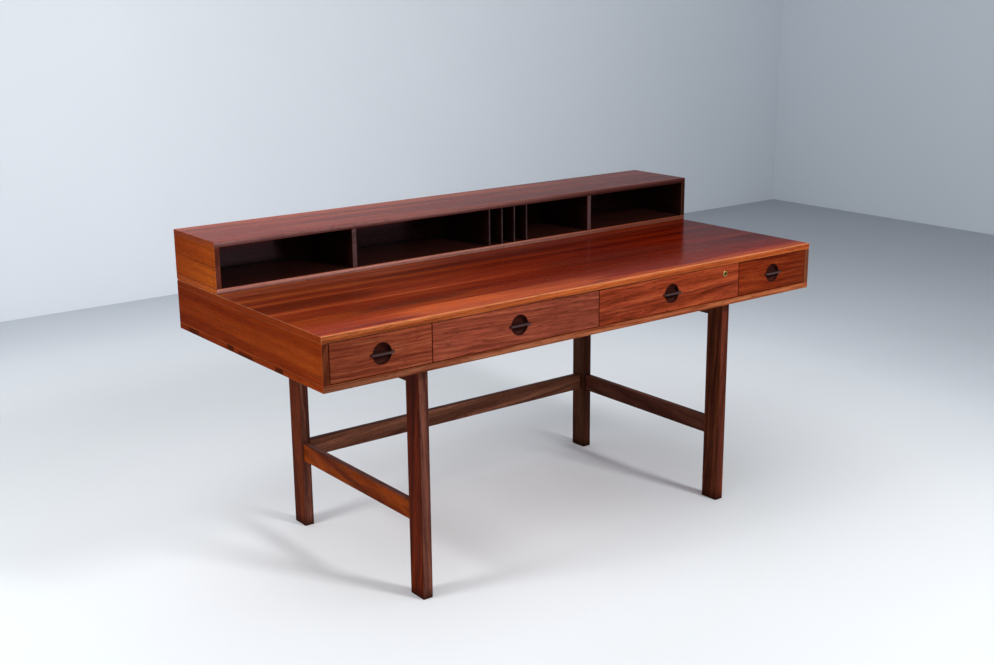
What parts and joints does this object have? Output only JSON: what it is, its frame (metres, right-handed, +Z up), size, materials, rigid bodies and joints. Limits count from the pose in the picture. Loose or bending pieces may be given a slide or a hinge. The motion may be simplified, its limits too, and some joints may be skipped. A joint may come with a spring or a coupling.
{
  "type": "partners desk",
  "caption": "Rosewood partners desk: a shallow drawer case on a framed leg base, round recessed bar pulls, and an open letter hutch that flips over the rear edge.",
  "frame": {"origin": "on the floor, under the middle of the whole box", "axes": "+X to the right along the width, +Y to the rear where the hutch stands, +Z up; the drawers face -Y"},
  "size_m": [1.62, 0.747, 0.863],
  "materials": {
    "rosewood_top": "satin lacquered rosewood veneer",
    "rosewood_case": "satin lacquered rosewood veneer",
    "rosewood_front": "satin lacquered rosewood veneer",
    "rosewood_base": "oiled solid rosewood",
    "rosewood_pull": "oiled solid rosewood",
    "rosewood_inner": "dark matt rosewood",
    "drawer_oak": "matt oak",
    "brass": "satin brass"
  },
  "bodies": {
    "desk": {"top_panel": "rosewood_top", "bottom_panel": "rosewood_case", "left_end_panel": "rosewood_case", "right_end_panel": "rosewood_case", "back_panel": "rosewood_case", "left_partition": "rosewood_inner", "middle_partition": "rosewood_inner", "right_partition": "rosewood_inner", "front_left_leg": "rosewood_base", "front_right_leg": "rosewood_base", "rear_left_leg": "rosewood_base", "rear_right_leg": "rosewood_base", "left_top_rail": "rosewood_base", "right_top_rail": "rosewood_base", "left_stretcher": "rosewood_base", "right_stretcher": "rosewood_base", "rear_stretcher": "rosewood_base", "left_hinge_lower_leaf": "brass", "left_hinge_pin": "brass", "right_hinge_lower_leaf": "brass", "right_hinge_pin": "brass"},
    "hutch": {"hutch_top": "rosewood_top", "hutch_bottom": "rosewood_case", "hutch_left_end": "rosewood_case", "hutch_right_end": "rosewood_case", "hutch_back": "rosewood_inner", "hutch_left_divider": "rosewood_inner", "hutch_right_divider": "rosewood_inner", "letter_divider_1": "rosewood_inner", "letter_divider_2": "rosewood_inner", "letter_divider_3": "rosewood_inner", "letter_divider_4": "rosewood_inner", "left_hinge_upper_leaf": "brass", "right_hinge_upper_leaf": "brass"},
    "drawer_1": {"drawer_1_front": "rosewood_front", "drawer_1_left_side": "drawer_oak", "drawer_1_right_side": "drawer_oak", "drawer_1_back": "drawer_oak", "drawer_1_bottom": "drawer_oak", "drawer_1_pull": "rosewood_pull"},
    "drawer_2": {"drawer_2_front": "rosewood_front", "drawer_2_left_side": "drawer_oak", "drawer_2_right_side": "drawer_oak", "drawer_2_back": "drawer_oak", "drawer_2_bottom": "drawer_oak", "drawer_2_pull": "rosewood_pull"},
    "drawer_3": {"drawer_3_front": "rosewood_front", "drawer_3_left_side": "drawer_oak", "drawer_3_right_side": "drawer_oak", "drawer_3_back": "drawer_oak", "drawer_3_bottom": "drawer_oak", "drawer_3_pull": "rosewood_pull", "lock_case": "brass"},
    "drawer_4": {"drawer_4_front": "rosewood_front", "drawer_4_left_side": "drawer_oak", "drawer_4_right_side": "drawer_oak", "drawer_4_back": "drawer_oak", "drawer_4_bottom": "drawer_oak", "drawer_4_pull": "rosewood_pull"},
    "lock": {"lock_plug": "brass"}
  },
  "joints": [
    {"name": "hutch_flip", "type": "hinge", "parent": "desk", "child": "hutch", "pos_m": [0, 0.37075, 0.73065], "axis": [-1, 0, 0], "range_deg": [0, 180]},
    {"name": "drawer_1_slide", "type": "slide", "parent": "desk", "child": "drawer_1", "axis": [0, -1, 0], "range_m": [0, 0.36]},
    {"name": "drawer_2_slide", "type": "slide", "parent": "desk", "child": "drawer_2", "axis": [0, -1, 0], "range_m": [0, 0.36]},
    {"name": "drawer_3_slide", "type": "slide", "parent": "desk", "child": "drawer_3", "axis": [0, -1, 0], "range_m": [0, 0.36]},
    {"name": "drawer_4_slide", "type": "slide", "parent": "desk", "child": "drawer_4", "axis": [0, -1, 0], "range_m": [0, 0.36]},
    {"name": "lock_turn", "type": "hinge", "parent": "drawer_3", "child": "lock", "pos_m": [0.4605, -0.36555, 0.6905], "axis": [0, 1, 0], "range_deg": [0, 90]}
  ]
}
